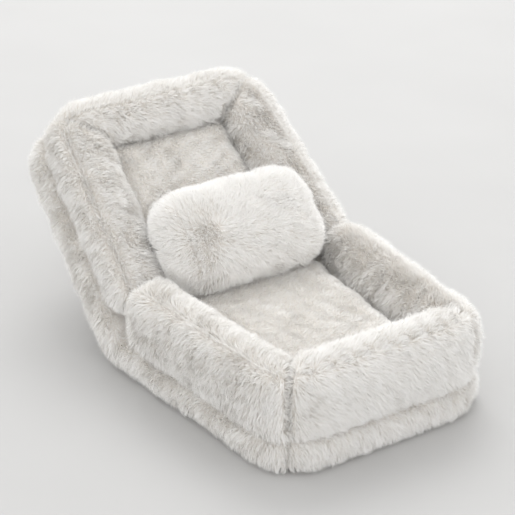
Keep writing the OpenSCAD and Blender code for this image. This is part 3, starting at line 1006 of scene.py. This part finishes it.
# How each piece's pile grows: density is a share of DENSITY, comb the way that it lies
PILE = {
    "outer_casing": dict(density=0.9, length=0.014, comb=(0.0, -0.6, -0.5), rests=(SEATED, RECLINED)),
    "left_arm": dict(density=1.0, length=0.015, comb=FORWARD_AND_DOWN),
    "right_arm": dict(density=1.0, length=0.015, comb=FORWARD_AND_DOWN),
    "front_bolster": dict(density=1.0, length=0.015, comb=(0.5, -0.4, -0.5)),
    "left_back_bolster": dict(density=1.0, length=0.015, comb=(0.0, -0.7, -0.5)),
    "right_back_bolster": dict(density=1.0, length=0.015, comb=(0.0, -0.7, -0.5)),
    "top_bolster": dict(density=1.0, length=0.015, comb=(0.4, -0.7, -0.3)),
    "seat_cushion": dict(density=1.1, length=0.009, comb=(0.2, -0.8, 0.0), clump=0.005, gather=0.42),
    "back_pad": dict(density=1.1, length=0.009, comb=(0.1, -0.7, -0.4), clump=0.005, gather=0.42),
    "pillow": dict(density=1.1, length=0.014, comb=(0.3, -0.5, -0.5), whorl=PILLOW_WHORL),
}
SHORT = ("seat_cushion", "back_pad")
FIRST_SEED = 100


def go(obj, body):
    """Rides on a body, or, where no one body holds it, as over the fold between the seat and the back, has
    its place applied to its mesh.
    """
    if body:
        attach(obj, body)
    else:
        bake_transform(obj)


for number, (name, (obj, body, hidden, fill)) in enumerate(BED.items()):
    short = name in SHORT
    options = dict(PILE[name])
    options["density"] *= DENSITY
    hairs = grow_pile(obj, FIRST_SEED + number, width=SHORT_WIDTH if short else LONG_WIDTH, **options)
    obj.data.materials.append(backing)
    for hair in hairs:
        hair.data.materials.append(short_pile if short else long_pile)
    for piece in (obj, *hairs):
        go(piece, body)
    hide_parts(*hidden)

# ---------------------------------------------------------------- hardware, zip and antislip cloth

steel = brushed_metal("zinc_plated_steel", (0.66, 0.67, 0.69), 0.38)
nickel = brushed_metal("nickel_plate", (0.74, 0.73, 0.71), 0.24)
tape = woven("zip_tape_weave", (0.62, 0.60, 0.56), (0.86, 0.84, 0.80), 900)
nylon = moulded("nylon_coil", (0.88, 0.86, 0.82), 0.4)
rubber = moulded("rubber_dots", (0.10, 0.10, 0.105), 0.6)
cloth = woven("antislip_cloth", (0.13, 0.13, 0.135), (0.26, 0.26, 0.27), 700)

LOOKS = {"steel": steel, "zip_metal": nickel, "zip_tape": tape, "zip_coil": nylon, "antislip": cloth}
SLOTS = {row["node"]: row["material_slot"] for row in frame["record"]["subparts"]}
for name, obj in frame["nodes"].items():
    if SLOTS[name] in LOOKS:
        obj.data.materials.clear()
        obj.data.materials.append(LOOKS[SLOTS[name]])


TOOTH_PITCH = 0.0016
TOOTH_WIRE = 0.00032
TOOTH_POINTS = 8


def zip_teeth():
    """The nylon coil: a flattened spiral along the zip, one turn to each tooth."""
    turns = int((ZIP_HIGH[0] - ZIP_LOW[0]) / TOOTH_PITCH)
    t = np.arange(turns * TOOTH_POINTS) / TOOTH_POINTS
    angle = 2 * math.pi * t
    deep = max((ZIP_HIGH[2] - ZIP_LOW[2]) / 2 - TOOTH_WIRE, TOOTH_WIRE)
    x = ZIP_LOW[0] + TOOTH_PITCH * t
    y = ZIP_Y + ((ZIP_HIGH[1] - ZIP_LOW[1]) / 2 - TOOTH_WIRE) * np.cos(angle)
    z = (ZIP_LOW[2] + ZIP_HIGH[2]) / 2 + deep * np.sin(angle)
    curve = bpy.data.curves.new("zip_teeth", "CURVE")
    curve.dimensions = "3D"
    curve.bevel_depth = TOOTH_WIRE
    curve.bevel_resolution = 1
    spline = curve.splines.new("POLY")
    spline.points.add(len(t) - 1)
    points = np.array(RECLINED)[:3, :3] @ np.stack([x, y, z]) + np.array(RECLINED)[:3, 3:]
    spline.points.foreach_set("co", np.vstack([points, np.ones(len(t))]).T.ravel())
    obj = bpy.data.objects.new("zip_teeth", curve)
    bpy.context.collection.objects.link(obj)
    curve.materials.append(nylon)
    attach(obj, "back")
    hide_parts("zip_coil")


zip_teeth()


CLOTH_THICK = 0.0009
CLOTH_CELL = 0.012
CLOTH_RADII = ((0.012, 0.012), (0.012, 0.012), (0.0003, 0.0003))
# The dots stand in a grid of triangles
DOT_PITCH = 0.011
DOT_ROW = DOT_PITCH * 0.866
DOT_RADIUS = 0.0026
DOT_SIDES = 10
# A dot's rings: share of its radius, and share of its drop to the floor
DOT_RINGS = ((1.0, 0.0), (0.85, 0.65), (0.45, 1.0))


def add_dot(verts, faces, x, y, floor, drop):
    """Adds one rubber dot between the cloth and the floor: a closed, stepped button."""
    start = len(verts)
    for share, depth in DOT_RINGS:
        for i in range(DOT_SIDES):
            turn = 2 * math.pi * i / DOT_SIDES
            across, along = math.cos(turn) * DOT_RADIUS * share, math.sin(turn) * DOT_RADIUS * share
            verts.append((x + across, y + along, floor + drop * (1 - depth)))
    for level in range(len(DOT_RINGS) - 1):
        for i in range(DOT_SIDES):
            a = start + level * DOT_SIDES + i
            b = start + level * DOT_SIDES + (i + 1) % DOT_SIDES
            faces.append([a, a + DOT_SIDES, b + DOT_SIDES, b])
    last = start + (len(DOT_RINGS) - 1) * DOT_SIDES
    faces.append([last + i for i in range(DOT_SIDES)][::-1])
    faces.append([start + i for i in range(DOT_SIDES)])


def antislip():
    """The cloth under the seat, coated with rows of small rubber dots that stand on the floor."""
    low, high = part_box("antislip_sheet")
    y0, y1 = low[1], high[1]
    w0, w1 = (half_width("antislip_sheet", SEATED, y) for y in (y0, y1))
    quad = [(-w0, y0), (w0, y0), (w1, y1), (-w1, y1)]
    size = (w0 + w1, y1 - y0, CLOTH_THICK)
    lattice, faces = box_lattice(size, CLOTH_CELL)
    points = across_quad(rounded(lattice, size, CLOTH_RADII), size, quad)
    points[:, 2] += high[2] - CLOTH_THICK
    sheet = mesh_object("antislip_cloth", points, faces)
    sheet.data.materials.append(cloth)
    drop = high[2] - CLOTH_THICK - low[2]
    verts, dots = [], []
    for row, y in enumerate(np.arange(y0 + DOT_PITCH, y1 - DOT_PITCH, DOT_ROW)):
        reach = w0 + (w1 - w0) * (y - y0) / (y1 - y0) - DOT_PITCH
        for x in np.arange(-reach + (row % 2) * DOT_PITCH / 2, reach, DOT_PITCH):
            add_dot(verts, dots, x, y, low[2], drop)
    bumps = mesh_object("antislip_dots", verts, dots)
    bumps.data.materials.append(rubber)
    for piece in (sheet, bumps):
        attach(piece, "seat")
    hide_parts("antislip_sheet")


antislip()

# ---------------------------------------------------------------- camera, floor and light

# Where the camera stands, in radians and metres from its target
AZIMUTH, ELEVATION, DISTANCE = -0.582, 0.469, 2.34
TARGET = Vector((-0.0739, -0.1302, 0.2147))
LENS = 120.93
FLOOR_SIZE = 80
SKY_STRENGTH = 1.16
KEY_SIZE, KEY_POWER = 2.6, 74
KEY_PLACE = (1.5, 2.2, 3.6)
BOUNCES, DIFFUSE_BOUNCES = 16, 12


def studio():
    """The camera, a pale floor, an even sky and one large soft lamp."""
    away = Vector((
        math.sin(AZIMUTH) * math.cos(ELEVATION),
        -math.cos(AZIMUTH) * math.cos(ELEVATION),
        math.sin(ELEVATION),
    ))
    camera = bpy.data.objects.new("camera", bpy.data.cameras.new("camera"))
    bpy.context.collection.objects.link(camera)
    camera.location = TARGET + away * DISTANCE
    camera.rotation_euler = (-away).to_track_quat("-Z", "Y").to_euler()
    camera.data.sensor_width = 36
    camera.data.lens = LENS
    bpy.context.scene.camera = camera

    bpy.ops.mesh.primitive_plane_add(size=FLOOR_SIZE)
    floor = bpy.context.object
    floor.name = "floor"
    m = Nodes("pale_floor")
    m.colour(m.ramp(m.noise(3, 2), [(0.3, (0.520, 0.517, 0.512)), (0.7, (0.535, 0.532, 0.527))]))
    m.set(Roughness=0.6, Specular_IOR_Level=0.2)
    floor.data.materials.append(m.material)

    world = bpy.data.worlds.new("studio")
    world.use_nodes = True
    sky = world.node_tree.nodes["Background"]
    sky.inputs["Color"].default_value = (1.0, 1.0, 0.998, 1)
    sky.inputs["Strength"].default_value = SKY_STRENGTH
    bpy.context.scene.world = world

    key = bpy.data.objects.new("key", bpy.data.lights.new("key", "AREA"))
    bpy.context.collection.objects.link(key)
    key.data.size = KEY_SIZE
    key.data.energy = KEY_POWER
    key.location = KEY_PLACE
    key.rotation_euler = (TARGET - key.location).to_track_quat("-Z", "Y").to_euler()
    scene = bpy.context.scene
    scene.view_settings.view_transform = "Standard"
    scene.cycles.max_bounces = BOUNCES
    scene.cycles.diffuse_bounces = DIFFUSE_BOUNCES


studio()
